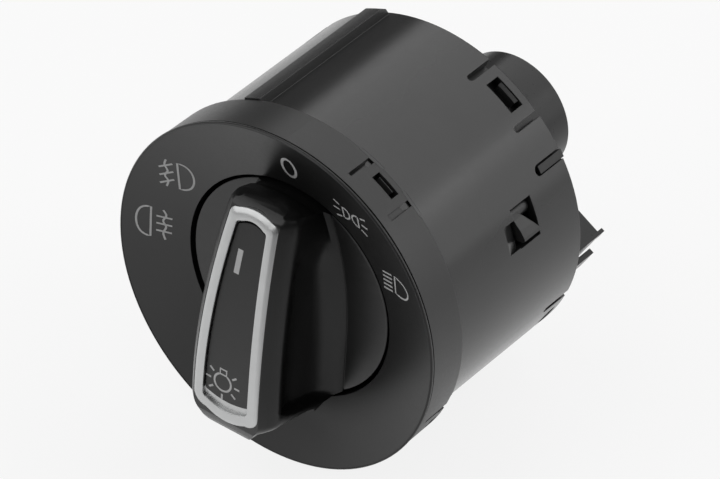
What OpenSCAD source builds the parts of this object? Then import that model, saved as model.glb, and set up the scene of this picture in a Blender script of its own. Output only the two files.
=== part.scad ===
// Round rotary headlight switch for a car dashboard.
// Origin on the turning axis at the panel seat. The face looks along -Y, and +Z points to the off mark.
// Units are millimetres. Angles run clockwise from +Z as the driver sees them.

/* [Front plate] */
// How far the rim stands out past the collar
rim_lip = 0.2; // [0:0.05:0.6]
// Depth of the front plate and collar in front of the panel seat
plate_front = 11.3; // [9:0.1:15]
// Radius of the round hole for the knob
hole_r = 26.8; // [22:0.1:32]
// How far the dished face falls from the rim to the hole
dish_depth = 5.5; // [2:0.1:8]
// Wall thickness of the front plate
plate_t = 2.0; // [1.2:0.1:3]
// Thickness of the rounded bead round the rim
bead_t = 0.95; // [0.5:0.05:2]
// Width of the dark line between front plate and collar
plate_gap = 0.3; // [0:0.05:0.8]

/* [Collar] */
// Wall thickness of the collar at the panel seat
collar_wall = 1.68; // [1.2:0.02:3]
// How much wider the collar is behind the front plate than at the panel seat
collar_draft = 0.15; // [0:0.05:0.5]
// Clearance between the collar and the housing inside it
collar_fit = 0.3; // [0.1:0.05:0.5]

/* [Housing] */
// Outside radius of the housing barrel
body_r = 39.67; // [34:0.01:46]
// Wall thickness of the housing barrel
body_t = 2.2; // [1.5:0.1:3]
// Length of the plug shroud behind the barrel
shroud_len = 13.3; // [11:0.1:18]
// How far the barrel reaches forward inside the collar
body_nose = 6.5; // [4:0.1:8]
// Height of the long rail on the barrel
rail_h = 2.2; // [0.5:0.1:3]
// Number of latches that join the pieces, evenly spaced
latch_count = 4; // [3:1:6]
// Angle of the first latch
latch_angle = 30; // [0:1:89]

/* [Locking hooks] */
// Angle of the first hook pivot
hook_angle = 62.8; // [50:0.1:75]
// Depth of the hook pivots below the barrel's surface
pivot_depth = 2.77; // [2.5:0.01:4]
// Distance from a hook's pivot to its tip
hook_reach = 6.8; // [5.5:0.01:7]
// Angle of the tip above the tangent when locked
hook_rise = 33; // [28:0.5:40]
// Swing of a hook from locked to released
hook_swing = 26; // [15:1:30]
// Length of the arm that drives a hook
hook_arm = 4.92; // [3:0.01:7]
// Radius of the steel pivot pins
pivot_pin_r = 1.0; // [0.6:0.05:1.5]
// Running clearance round the pivot pins
pivot_fit = 0.05; // [0.02:0.01:0.1]

/* [Knob] */
// Gap round the knob disc in the front plate's hole
knob_gap = 0.8; // [0.3:0.05:1.5]
// Depth of the knob disc below the rim plane
knob_sink = 5.9; // [3:0.1:8]
// Radius of the arc that the grip's front follows
grip_arc = 146; // [100:1:250]
// Height of the grip's crown in front of the rim plane
grip_h = 15.07; // [10:0.01:20]
// Position of the grip's crown along its length
crown_z = -19; // [-25:1:0]
// Half-width of the grip's bright frame where it is widest
frame_half = 8.6; // [7:0.05:9.5]
// How much narrower the frame's half-width is at the head
frame_taper = 2.45; // [0:0.05:3]
// Width of the rounded bevel round the frame
bevel_w = 2.8; // [1.5:0.05:3.5]
// Depth of the rounded bevel round the frame
bevel_h = 4.4; // [2:0.1:6]
// Depth of the finger scoops in the grip's flanks
scoop_depth = 2.5; // [0:0.1:3.5]
// Half-width of the grip's foot on the disc
foot_half = 15.5; // [13:0.1:17]
// Height of the grip's foot above the disc
foot_step = 1.2; // [0.6:0.1:2.5]
// Thickness of the bright frame's foot in the grip
trim_t = 1.2; // [0.8:0.1:2]
// How far the frame stands proud along its inner edge
trim_crown = 0.8; // [0.3:0.1:1.2]

/* [Mechanism] */
// Radius of the knob shaft
shaft_r = 5.0; // [3:0.1:7]
// Running clearance of the shaft in the rotor
shaft_fit = 0.05; // [0.02:0.01:0.1]
// Radius of the rotor journal
journal_r = 9.0; // [7:0.1:12]
// Running clearance of the journal in its bearing
journal_fit = 0.06; // [0.02:0.01:0.1]
// Turn of the knob from off to low beam
turn_range = 60; // [45:5:90]
// Number of detent notches
notch_count = 3; // [2:1:5]
// Pull-out travel of the knob
pull_travel = 6; // [3:0.5:8]
// Push-in travel that frees the hooks
push_travel = 3; // [1:0.5:4]
// Terminals in each row of the connector
terminal_count = 6; // [3:1:8]

/* [Hidden] */
$fn = 96;
e = 0.01;
// Radii that follow from the barrel and the knob's hole
collar_in = body_r + collar_fit;
collar_rear_r = collar_in + collar_wall;
collar_front_r = collar_rear_r + collar_draft;
plate_r = collar_front_r + rim_lip;
body_in = body_r - body_t;
knob_r = hole_r - knob_gap;
latch_step = 360 / latch_count;
// Stations of the face along the axis
y_rim = -plate_front;
y_disc = y_rim + knob_sink;
y_bead = y_rim + bead_t;
y_collar = y_bead + plate_gap;
y_hole = y_rim + dish_depth;
dish_slope = dish_depth / (plate_r - hole_r);
function y_dish(r) = y_rim + (plate_r - r) * dish_slope;
// Lamp board, its posts and the floor behind it
lamp_y = 2.0;
board_t = 1.6;
lamp_ring_in = hole_r + 2;
post_ring = (lamp_ring_in + body_in) / 2;
lamp_r = post_ring + 0.3;
lamp_angles = [0, 29.8, 59.3, -61.7, -88.3];
post_r = 2.4;
post_angles = [95, 165, 235, 330];
screw_r = 0.8;
floor_y = lamp_y + 7;
floor_t = 2;
// Rotor and its bearing tube
tube_r = journal_r + 2.5;
tube_front = floor_y - 2;
tube_end = floor_y + 5;
hub_r = 8;
flange_r = 21.5;
flange_y = tube_end + 0.4;
flange_t = 2.6;
rotor_front = floor_y - 5;
clip_y = tube_front - 1.2;
notch_r = flange_r - 1.3;
// Contact chamber and the board that closes it
chamber_r = flange_r + 4.5;
chamber_t = 1.83;
wiper_room = 7.6;
chamber_end = flange_y + flange_t + wiper_room;
shoulder_r = chamber_r + chamber_t + 1.77;
shoulder_end = chamber_end - 2.4;
board_r = shoulder_r - 0.1;
board_y = chamber_end;
board_rear = board_y + board_t;
track_radii = [12.75, 16.75, 20.75];
// Shaft, slider and the rotor's closed end
pilot_fit = 0.05;
key_w = 2;
key_r = shaft_r + 1.5;
key_gap = 0.05;
pin_r = 1.0;
slider_half = 2;
pin_y = board_rear + 0.8 + pull_travel + slider_half;
bore_end = pin_y + push_travel + slider_half;
cap_end = bore_end + 1.2;
pilot_r = 4;
pilot_end = cap_end + 3.4;
slider_fit = 0.1;
slider_r = hub_r + 4;
slip_r = slider_r + 0.6;
// Release ring, hook windows and hooks
hook_count = 2;
hook_step = 360 / hook_count;
pivot_r = body_r - pivot_depth;
ring_y0 = shoulder_end + 0.2;
ring_t = 2;
ring_fit = 0.07;
ring_in = chamber_r + chamber_t + ring_fit;
ring_out = pivot_r - 2.5;
window_a0 = hook_angle - 2.9;
window_a1 = hook_angle + 10.6;
window_y0 = ring_y0 + ring_t + 0.5;
window_y1 = window_y0 + 7;
hook_gap = 0.3;
hook_y0 = window_y0 + hook_gap;
hook_y1 = window_y1 - hook_gap;
drive_pin_r = 1.2;
drive_slot = 0.12;
drive_x = hook_arm * sin(hook_swing / 2);
drive_z = pivot_r - hook_arm * cos(hook_swing / 2);
drive_a = atan2(drive_x, drive_z);
boss_r = 2.2;
pin_front = shoulder_end - 1.3;
pin_back = window_y1 + 3.3;
// Return spring of the release ring
spring_x = ring_out - 1.4;
spring_y = ring_y0 - 2.8;
spring_z0 = -12.2;
spring_z1 = -2.6;
spring_wire = 0.5;
spring_coil = 1.25;
spring_post_r = 1.0;
spring_peg_z = -0.8;
spring_anchor_z = -13.9;
// Rear cover, connector and drum
cover_fit = 0.27;
cover_r = body_in - cover_fit;
cover_t = 2.2;
cover_y = cap_end + 2;
body_len = cover_y + cover_t;
tail_y = body_len + shroud_len;
drum_r = 14.3;
drum_x = 11.71;
drum_z = 16.29;
shroud_t = 1.6;
shroud_u0 = -20;
shroud_u1 = 13;
shroud_v0 = 15;
shroud_v1 = 34.2;
terminal_u0 = -14;
terminal_pitch = 4.4;
terminal_rows = [19.5, 25];
terminal_tip = tail_y - 5.2;
key_angle = 55.4;
rail_angle = -26.5;
// Grip: ends, corners, frame and the stations of its sections
grip_z0 = -27.7;
grip_z1 = 29.0;
grip_corner = 4;
grip_shift = 0.75;
grip_end_r = 28.05;
head_z = 27.3;
heel_z = -25.9;
end_round = 1.6;
bevel_steps = 4;
scoop_steps = 8;
scoop_z0 = -20.6;
scoop_z1 = 21;
grip_stations = concat(
    [for (k = [0 : 5]) grip_z0 + 0.7 * k],
    [for (k = [0 : 7]) -23.4 + 0.8 * k],
    [for (k = [0 : 14]) -16 + 2.4 * k],
    [for (k = [0 : 4]) 19.6 + 1.7 * k],
    [for (k = [0 : 5]) head_z - 0.1 + 0.36 * k]
);
frame_z0 = -21.8;
frame_z1 = 26.9;
frame_w = 2.62;
frame_corner = 2.0;
frame_bulge = 0.9;
insert_gap = 0.25;
lip = 0.7;
trim_level = 0.2;
insert_floor = 2.6;
seat = 0.03;
core_half = 4.5;
trim_stations = concat(
    [for (k = [0 : 3]) -23.4 + 0.5 * k],
    [for (k = [0 : 22]) -20.6 + 2.05 * k],
    [for (k = [0 : 4]) 26.3 + 0.5 * k]
);
crown_y = y_rim - grip_h;
arc_y = crown_y + grip_arc;
flat_black = "#2a2b2d";
satin_black = "#18191a";
body_grey = "#3a3b3d";
bright = "#c9cbcd";
steel = "#9ea2a6";
bronze = "#b98a4a";
board_green = "#2f5d3a";
clear_white = "#dfe3e6";

function top_y(z) = arc_y - sqrt(pow(grip_arc, 2) - pow(z - crown_z, 2));
function half_w(z) = frame_half - frame_taper * pow(max(0, z + 17) / 45.5, 1.7);
function smooth(v) = let (u = min(max(v, 0), 1)) u * u * (3 - 2 * u);

// Turns a profile of [radius, y] round the Y axis from angle a0 through angle a
module revolve(pts, a0 = 0, a = 360) {
    rotate([-90, 0, 0])
        rotate([0, 0, a0 - 90])
            rotate_extrude(angle = a)
                polygon(pts);
}

module sector(a0, a1, r0, r1, y0, y1) {
    revolve([[r0, y0], [r1, y0], [r1, y1], [r0, y1]], a0, a1 - a0);
}

module ring(r0, r1, y0, y1) {
    revolve([[r0, y0], [r1, y0], [r1, y1], [r0, y1]]);
}

module rod(r, y0, y1) {
    translate([0, y0, 0])
        rotate([-90, 0, 0])
            cylinder(r = r, h = y1 - y0);
}

// Places its children at an angle: X tangential, Z outward
module at(a) {
    rotate([0, a, 0])
        children();
}

// Stands a flat outline of [x, z] points up between two stations along Y
module slab(pts, y0, y1) {
    translate([0, y1, 0])
        rotate([90, 0, 0])
            linear_extrude(height = y1 - y0)
                polygon(pts);
}

// Extrudes an outline of [x, y] points along Z
module strip(pts, z0, z1) {
    translate([0, 0, z0])
        linear_extrude(height = z1 - z0)
            polygon(pts);
}

module block(x0, x1, y0, y1, z0, z1) {
    translate([x0, y0, z0])
        cube([x1 - x0, y1 - y0, z1 - z0]);
}

// Solid through a list of closed sections with the same number of points
module skin(rings) {
    n = len(rings[0]);
    last = (len(rings) - 1) * n;
    polyhedron(
        points = [for (r = rings) each r],
        faces = concat(
            [[for (k = [0 : n - 1]) k]],
            [for (i = [0 : len(rings) - 2]) for (k = [0 : n - 1])
                let (a = i * n + k, b = i * n + (k + 1) % n)
                each [[a, a + n, b], [b, a + n, b + n]]],
            [[for (k = [n - 1 : -1 : 0]) last + k]]
        )
    );
}

// Front plate: dished face, rounded bead and a spigot inside the collar
module face_plate() {
    color(flat_black)
        revolve([
            [hole_r, y_hole],
            [plate_r - 0.45, y_dish(plate_r - 0.45)],
            [plate_r - 0.42, y_rim + 0.02],
            [plate_r - 0.2, y_rim + 0.08],
            [plate_r - 0.05, y_rim + 0.26],
            [plate_r, y_rim + 0.5],
            [plate_r - 0.05, y_rim + 0.76],
            [plate_r - 0.18, y_bead],
            [plate_r - 1.1, y_bead],
            [plate_r - 1.1, y_collar],
            [collar_in - 0.12, y_collar],
            [collar_in - 0.12, -body_nose - 0.5],
            [body_r - 1.4, -body_nose - 0.5],
            [body_r - 1.4, y_dish(body_r - 1.4) + plate_t],
            [hole_r + 1.6, y_dish(hole_r + 1.6) + plate_t],
            [hole_r + 1.6, -1.5],
            [hole_r, -1.5]
        ]);
}

// Collar: plain wall with a sprung latch at each quarter
module collar() {
    color(flat_black)
        difference() {
            revolve([
                [collar_in, y_collar],
                [collar_front_r, y_collar],
                [collar_rear_r, 0],
                [collar_in, 0]
            ]);
            for (i = [0 : latch_count - 1])
                at(latch_angle + i * latch_step)
                    collar_latch_cuts();
        }
}

module collar_latch_cuts() {
    out = collar_front_r + 1;
    inn = collar_in - 1;
    sector(-9.1, -7.9, inn, out, -7.6, e);
    sector(-8.0, -7.0, inn, out, -2.8, e);
    sector(7.5, 9.5, inn, out, -2.7, e);
    sector(7.5, 9.5, collar_front_r - 0.9, out, -7.3, -2.7 + e);
    sector(-3.9, 4.5, inn, out, -3.8, -1.4);
    sector(-13.2, -4.1, inn, out, -0.3, e);
    sector(4.6, 13.5, inn, out, -0.3, e);
}

// Housing: barrel, rail, inner floor with the rotor bearing, chamber wall and posts
module housing() {
    color(body_grey)
        difference() {
            union() {
                barrel();
                sector(171, 175, flange_r + 1.7, chamber_r + 0.5, floor_y + 1, flange_y + flange_t + 1);
                sector(185 + turn_range, 189 + turn_range, flange_r + 1.7, chamber_r + 0.5, floor_y + 1, flange_y + flange_t + 1);
                rail();
                latch_teeth();
                lamp_posts();
                pivot_bosses();
                spring_anchor();
            }
            for (i = [0 : latch_count - 1])
                at(latch_angle + i * latch_step)
                    tongue_cuts();
            key_slot();
            for (i = [0 : hook_count - 1])
                at(i * hook_step)
                    hook_window();
            for (i = [0 : hook_count - 1])
                at(hook_angle + i * hook_step)
                    translate([0, 0, pivot_r])
                        rod(pivot_pin_r, pin_front, pin_back);
            for (a = post_angles)
                at(a)
                    translate([0, 0, post_ring])
                        rod(screw_r, 0, floor_y - 1);
        }
}

module barrel() {
    floor_back = floor_y + floor_t;
    chamber_out = chamber_r + chamber_t;
    revolve([
        [body_r, -body_nose],
        [body_r, body_len],
        [body_in, body_len],
        [body_in, floor_back],
        [shoulder_r, floor_back],
        [shoulder_r, shoulder_end],
        [chamber_out, shoulder_end],
        [chamber_out, chamber_end],
        [chamber_r, chamber_end],
        [chamber_r, floor_back],
        [tube_r, floor_back],
        [tube_r, tube_end],
        [journal_r + journal_fit, tube_end],
        [journal_r + journal_fit, tube_front],
        [tube_r, tube_front],
        [tube_r, floor_y],
        [body_in, floor_y],
        [body_in, -body_nose]
    ]);
}

module rail() {
    r = body_r + rail_h;
    revolve([
        [body_r - 0.5, 0.3],
        [r, 0.3],
        [r, body_len - 2.6],
        [r - 0.7, body_len - 1.2],
        [body_r - 0.5, body_len - 0.4]
    ], rail_angle, 6);
}

module latch_teeth() {
    for (i = [0 : latch_count - 1])
        at(latch_angle + i * latch_step) {
            revolve([
                [body_r - 0.5, -2.9],
                [body_r, -2.9],
                [body_r + 1.5, -2.0],
                [body_r + 1.5, -1.7],
                [body_r - 0.5, -1.7]
            ], -2.8, 5.9);
            sector(-13.2, -4.1, body_r - 0.5, body_r + 0.5, 0.8, 1.8);
            sector(4.6, 13.5, body_r - 0.5, body_r + 0.5, 0.8, 1.8);
        }
}

module lamp_posts() {
    for (a = post_angles)
        at(a)
            translate([0, 0, post_ring])
                rod(post_r, lamp_y + board_t, floor_y + 0.5);
}

module pivot_bosses() {
    for (i = [0 : hook_count - 1])
        at(hook_angle + i * hook_step)
            translate([0, 0, pivot_r]) {
                rod(boss_r, pin_front - 0.4, window_y0 - 0.1);
                rod(boss_r, window_y1 + 0.1, pin_back + 0.4);
            }
}

module spring_anchor() {
    translate([spring_x, 0, spring_anchor_z])
        rod(spring_post_r, floor_y + 1, spring_y + 1.2);
}

module tongue_cuts() {
    out = body_r + 1;
    inn = body_in - 1;
    y0 = body_len - 8.5;
    for (s = [[-11.7, -9.2], [9.9, 12.1]]) {
        sector(s[0], s[1], inn, out, y0 + 0.8, body_len + 1);
        at((s[0] + s[1]) / 2)
            translate([0, y0 + 0.8, inn])
                cylinder(r = body_r * (s[1] - s[0]) * PI / 360 - 0.05, h = body_t + 2, $fn = 32);
    }
    sector(-5.6, 6, inn, out, body_len - 6.2, body_len - 2.2);
    sector(-9.3, 10, inn, out, body_len - 0.2, body_len + 1);
}

module key_slot() {
    w = 1.31;
    y0 = body_len - 9.2 + w;
    at(key_angle) {
        block(-w, w, y0, body_len + 1, body_in - 1, body_r + 1);
        translate([0, y0, body_in - 1])
            cylinder(r = w - 0.01, h = body_t + 2, $fn = 32);
    }
}

module hook_window() {
    sector(window_a0, window_a1, body_in - 1, body_r + 1, window_y0, window_y1);
    y = window_y0 + 0.1;
    revolve([[body_r + 0.2, y - 4.4], [body_r + 0.2, y], [body_r - 1.3, y]], hook_angle + 0.7, 9.5);
}

// Rear cover: snap-in plate with the drum, the connector shroud and the shaft bearing
module rear_cover() {
    color(body_grey)
        difference() {
            union() {
                revolve([
                    [0, cover_y],
                    [cover_r - 2.2, cover_y],
                    [cover_r - 2.2, body_len - 9.4],
                    [cover_r, body_len - 9.4],
                    [cover_r, body_len - 0.1],
                    [0, body_len - 0.1]
                ]);
                rod(pilot_r + 2.5, cap_end + 0.4, body_len + 1.4);
                for (i = [0 : latch_count - 1])
                    at(latch_angle + i * latch_step)
                        revolve([
                            [cover_r - 0.5, body_len - 3.5],
                            [body_r - 0.4, body_len - 3.5],
                            [body_r - 0.2, body_len - 2.4],
                            [cover_r - 0.5, body_len - 2.4]
                        ], -3.5, 7.7);
                sector(key_angle - 1.1, key_angle + 1.6, cover_r - 0.5, body_r - 0.2, body_len - 7.7, body_len + 0.6);
                translate([drum_x, 0, drum_z])
                    revolve([
                        [0, cover_y],
                        [drum_r, cover_y],
                        [drum_r, tail_y - 0.6],
                        [drum_r - 0.6, tail_y],
                        [0, tail_y]
                    ]);
                at(34.2)
                    block(-0.5, 0.5, body_len - 1, body_len + 4.1, cover_r - 6.2, cover_r - 1.6);
                at(latch_angle)
                    shroud_walls();
            }
            rod(pilot_r + pilot_fit, cap_end, pilot_end + 0.3);
            translate([drum_x, 0, drum_z])
                rod(drum_r - 1.8, cover_y - 1, tail_y - 1.8);
            at(latch_angle)
                shroud_cavity();
        }
}

module shroud_walls() {
    intersection() {
        block(shroud_v0, shroud_v1, cover_y, tail_y, shroud_u0, shroud_u1);
        union() {
            rod(cover_r - 0.4, cover_y + 0.5, body_len + 1);
            rod(body_r, body_len + 0.05, tail_y + 1);
        }
    }
    block(shroud_v1 - 0.9, shroud_v1, tail_y - 1, tail_y + 1.6, shroud_u1 - 2.4, shroud_u1);
    block(shroud_v1 - 0.5, shroud_v1 + 1.3, body_len - 1, tail_y - 1.4, -4.2, -2.6);
    block(shroud_v1 - 0.5, shroud_v1 + 1, body_len - 1, tail_y - 1.6, 3, 4.2);
    block(shroud_v1 + 0.65, shroud_v1 + 1.9, body_len - 1, tail_y - 1.6, 3, shroud_u1 - 3.8);
}

module shroud_cavity() {
    t = shroud_t;
    block(shroud_v0 + t, shroud_v1 - t, body_len - 0.3, tail_y + 2, shroud_u0 + t, shroud_u1 - t);
    for (v = terminal_rows)
        for (i = [0 : terminal_count - 1])
            terminal(v, terminal_u0 + i * terminal_pitch, cover_y - 1, body_len + 1, 0.05);
}

module terminal(v, u, y0, y1, grow) {
    block(v - 0.32 - grow, v + 0.32 + grow, y0, y1, u - 0.8 - grow, u + 0.8 + grow);
}

module terminal_pins() {
    color(bronze)
        at(latch_angle)
            for (v = terminal_rows)
                for (i = [0 : terminal_count - 1])
                    terminal(v, terminal_u0 + i * terminal_pitch, board_rear, terminal_tip, 0);
}

// Lamp board behind the printed marks
module lamp_board() {
    color(board_green)
        difference() {
            ring(lamp_ring_in, body_in - 0.3, lamp_y, lamp_y + board_t);
            for (a = post_angles)
                at(a)
                    translate([0, 0, post_ring])
                        rod(screw_r + 0.3, lamp_y - 1, lamp_y + board_t + 1);
        }
}

module leds() {
    color(clear_white)
        for (a = lamp_angles)
            at(a)
                block(-1.6, 1.6, lamp_y - 1.1, lamp_y, lamp_r - 1.4, lamp_r + 1.4);
}

module light_guide() {
    gap = plate_t + 0.2;
    r0 = hole_r + 2.8;
    r1 = body_in - 0.47;
    color(clear_white)
        revolve([
            [r0, y_dish(r0) + gap],
            [r1, y_dish(r1) + gap],
            [r1, lamp_y],
            [r1 - 1.2, lamp_y],
            [r1 - 1.2, 0.4],
            [r0, 0.4]
        ]);
}

module board_screws() {
    color(steel)
        for (a = post_angles)
            at(a)
                translate([0, 0, post_ring])
                    difference() {
                        union() {
                            rod(2, lamp_y - 1, lamp_y);
                            rod(screw_r, lamp_y - 0.5, floor_y - 1.2);
                        }
                        block(-1.3, 1.3, lamp_y - 2, lamp_y - 0.5, -0.2, 0.2);
                        block(-0.2, 0.2, lamp_y - 2, lamp_y - 0.5, -1.3, 1.3);
                    }
}

// Everything behind the grip's front arc, sunk by d
module behind_arc(d) {
    translate([-40, arc_y, crown_z])
        rotate([0, 90, 0])
            cylinder(r = grip_arc - d, h = 80, $fn = 360);
}

// How far the grip's corners draw in towards its two ends
function corner_in(z) = let (d = min(max(0, z - grip_z1 + grip_corner, grip_z0 + grip_corner - z), grip_corner))
    grip_corner - sqrt(pow(grip_corner, 2) - pow(d, 2));

// How far the front falls away where it rounds over at its two ends
function end_drop(z) = let (d = min(max(0, z - head_z, heel_z - z) / end_round, 1)) bevel_h * (1 - sqrt(1 - d));

function crease_w(z) = half_w(z) + bevel_w - corner_in(z);
function foot_w(z) = max(foot_half - 5.9 * pow(max(0, z + 8) / 32, 2.4), half_w(z) + bevel_w - 0.6) - corner_in(z);
function scoop_in(z, t) = 4 * scoop_depth * t * (1 - t)
    * smooth((z - scoop_z0 + 1.6 * t) / 1.6) * smooth((scoop_z1 - z) / 9);

// Right half of the grip's section at height z, from its front edge to the disc
function grip_side(z) = let (
    y0 = top_y(z) + end_drop(z),
    y1 = max(top_y(z) + bevel_h, y0 + 0.2),
    y2 = y_disc - foot_step,
    x1 = crease_w(z),
    x0 = min(half_w(z) + 0.15, x1 - 0.3),
    x2 = foot_w(z) - 1
) concat(
    [for (k = [0 : bevel_steps]) let (u = k / bevel_steps) [x1 - (x1 - x0) * pow(1 - u, 2), y0 + (y1 - y0) * u]],
    [for (k = [1 : scoop_steps]) let (t = k / scoop_steps) [x1 + (x2 - x1) * t - scoop_in(z, t), y1 + (y2 - y1) * t]],
    [[x2 + 1, y_disc - 0.3], [x2 + 1.15, y_disc + 0.5]]
);

function both_sides(pts) = concat(pts, [for (k = [len(pts) - 1 : -1 : 0]) [-pts[k][0], pts[k][1]]]);

module grip_blank() {
    skin([for (z = grip_stations) [for (p = both_sides(grip_side(z))) [p[0], p[1], z]]]);
}

// Round ends of the grip: they overhang the disc and draw in to its radius
module grip_ends() {
    translate([0, 0, grip_shift])
        revolve([
            [0, crown_y - 2],
            [grip_end_r, crown_y - 2],
            [grip_end_r, y_rim - 2.9],
            [knob_r + grip_shift, y_rim + 1.1],
            [knob_r - 0.3, y_rim + 2.9],
            [knob_r - grip_shift, y_disc + 0.4],
            [0, y_disc + 0.4]
        ]);
    revolve([[0, y_rim + 1.1], [knob_r - 0.02, y_rim + 1.1], [knob_r - 0.02, y_disc + 0.4], [0, y_disc + 0.4]]);
}

// Plan outline of the bright frame, shrunk by d
function side(z, d) = half_w(z) - d;
function corner(x, z, r, a0, a1) = [for (k = [0 : 5]) [x + r * cos(a0 + (a1 - a0) * k / 5), z + r * sin(a0 + (a1 - a0) * k / 5)]];
function end_arc(z, w, b, n) = [for (k = [1 : n - 1]) let (x = w - 2 * w * k / n) [x, z + b * (1 - pow(x / w, 2))]];
function right_edge(z0, z1, r, d) = concat(
    corner(side(z0 + r, d) - r, z0 + r, r, -90, 0),
    [for (k = [1 : 7]) let (z = z0 + r + (z1 - z0 - 2 * r) * k / 8) [side(z, d), z]],
    corner(side(z1 - r, d) - r, z1 - r, r, 0, 90)
);
function mirrored(pts) = [for (k = [len(pts) - 1 : -1 : 0]) [-pts[k][0], pts[k][1]]];
function frame_outline(z0, z1, r, d) = let (edge = right_edge(z0, z1, r, d)) concat(
    edge,
    end_arc(z1, side(z1 - r, d) - r, frame_bulge, 8),
    mirrored(edge),
    [for (p = end_arc(z0, side(z0 + r, d) - r, -frame_bulge, 8)) [-p[0], p[1]]]
);

module frame_prism(z0, z1, r, d) {
    slab(frame_outline(z0, z1, r, d), crown_y - 6, y_disc);
}

inner_z0 = frame_z0 + frame_w - 0.1;
inner_z1 = frame_z1 - frame_w + 0.4;

// Knob: disc, skirt, shaft socket and the scooped grip
module knob() {
    color(satin_black)
        difference() {
            union() {
                revolve([
                    [0, y_disc],
                    [knob_r - 0.6, y_disc],
                    [knob_r - 0.17, y_disc + 0.17],
                    [knob_r, y_disc + 0.6],
                    [knob_r, 3],
                    [knob_r - 1.8, 3],
                    [knob_r - 1.8, y_disc + 2.4],
                    [0, y_disc + 2.4]
                ]);
                rod(hub_r, y_disc + 1, 0.5);
                grip_body();
            }
            rod(shaft_r, y_disc + 2.4, 1);
            block(-core_half, core_half, y_rim - 3, y_disc + 3, 10, 21);
            block(-core_half, core_half, y_rim - 9, y_disc + 3, -17, -10);
        }
}

module grip_body() {
    difference() {
        intersection() {
            grip_blank();
            grip_ends();
        }
        difference() {
            frame_prism(frame_z0, frame_z1, frame_corner, 0);
            behind_arc(trim_t);
        }
        difference() {
            frame_prism(inner_z0, inner_z1, 0.8, frame_w);
            behind_arc(insert_floor);
        }
    }
}

// Section of the frame's face at height z: an outer bevel that rises to a crown along the inner edge
function trim_side(z) = let (
    w = half_w(z),
    y = top_y(z),
    rise = trim_crown * smooth(min(z - frame_z0 + frame_bulge, frame_z1 + frame_bulge - z) / 1.2)
) [
    [w - frame_w, y - rise],
    [w - 0.75, y - 0.8 * rise],
    [w + 0.1, y + 0.1 * rise],
    [w + 0.1, y + 6]
];

// Bright frame round the grip's front
module knob_trim() {
    color(bright)
        difference() {
            intersection() {
                skin([for (z = trim_stations) [for (p = both_sides(trim_side(z))) [p[0], p[1], z]]]);
                frame_prism(frame_z0, frame_z1, frame_corner, 0);
            }
            behind_arc(trim_t - seat);
            trim_opening();
        }
}

// Opening of the frame, with a sunken ledge left at its head and foot
module trim_opening() {
    difference() {
        frame_prism(inner_z0, inner_z1, 0.8, frame_w);
        difference() {
            behind_arc(trim_level + 0.3);
            frame_prism(inner_z0 + lip, inner_z1 - lip, 0.8, frame_w - 0.6);
        }
    }
}

// Dark panel inside the bright frame
module knob_insert() {
    color(satin_black)
        difference() {
            intersection() {
                frame_prism(inner_z0 + lip + insert_gap, inner_z1 - lip - insert_gap, 0.6, frame_w + insert_gap);
                behind_arc(trim_level);
            }
            behind_arc(insert_floor - seat);
        }
}

// Shaft pressed into the knob, with two keys that slide in the rotor
module knob_shaft() {
    color(steel)
        difference() {
            union() {
                rod(shaft_r, y_disc + 2.4, bore_end - push_travel - 0.2);
                block(-key_w / 2, key_w / 2, 10, 32, -key_r, key_r);
            }
            rotate([0, 90, 0])
                translate([0, pin_y, -shaft_r - 1])
                    cylinder(r = pin_r, h = 2 * shaft_r + 2, $fn = 48);
        }
}

module cross_pin() {
    color(steel)
        translate([-slider_r + 0.2, pin_y, 0])
            rotate([0, 90, 0])
                cylinder(r = pin_r, h = 2 * slider_r - 0.4, $fn = 48);
}

module pull_slider() {
    color("#d8d4c8")
        difference() {
            ring(hub_r + slider_fit, slider_r, pin_y - slider_half, pin_y + slider_half);
            translate([-slider_r - 1, pin_y, 0])
                rotate([0, 90, 0])
                    cylinder(r = pin_r, h = 2 * slider_r + 2, $fn = 48);
        }
}

module slip_ring() {
    color(bronze)
        ring(slider_r, slip_r, pin_y - 1.2, pin_y + 1.2);
}

// Flat ring with three bent fingers that press the knob forward
module knob_spring() {
    back = y_disc + 2.4;
    tip = floor_y - push_travel - 0.3;
    color(steel) {
        ring(12.6, 16.5, back, back + 0.4);
        for (a = [30, 150, 270])
            at(a)
                strip([
                    [-2.6, back + 0.1],
                    [-2.6, back + 0.3],
                    [4, tip],
                    [5.2, tip],
                    [5.2, tip - 0.4],
                    [4.3, tip - 0.4],
                    [-2.1, back + 0.1]
                ], 13.2, 15.8);
    }
}

// Rotor: journal, flange with detent notches, keyed hub and rear pilot
module rotor() {
    color("#d8d4c8")
        difference() {
            union() {
                revolve([
                    [0, rotor_front],
                    [journal_r, rotor_front],
                    [journal_r, flange_y],
                    [flange_r, flange_y],
                    [flange_r, flange_y + flange_t],
                    [hub_r, flange_y + flange_t],
                    [hub_r, cap_end],
                    [pilot_r, cap_end],
                    [pilot_r, pilot_end],
                    [0, pilot_end]
                ]);
                sector(176, 184, flange_r - 1, flange_r + 3, flange_y, flange_y + flange_t);
            }
            rod(shaft_r + shaft_fit, rotor_front - 1, bore_end);
            block(-key_w / 2 - key_gap, key_w / 2 + key_gap, rotor_front - 1, bore_end, -key_r - 0.1, key_r + 0.1);
            block(-hub_r - 1, hub_r + 1, pin_y - pull_travel - pin_r - 0.2, pin_y + push_travel + pin_r + 0.2, -pin_r - 0.05, pin_r + 0.05);
            ring(journal_r - 0.6, journal_r + 1, clip_y, clip_y + 1);
            for (i = [0 : notch_count - 1])
                at(-i * turn_range / (notch_count - 1))
                    notch_cut();
        }
}

module notch_cut() {
    slab([
        [-2.2, flange_r + 0.3],
        [2.2, flange_r + 0.3],
        [0.3, notch_r],
        [-0.3, notch_r]
    ], flange_y - 1, flange_y + flange_t + 1);
}

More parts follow.
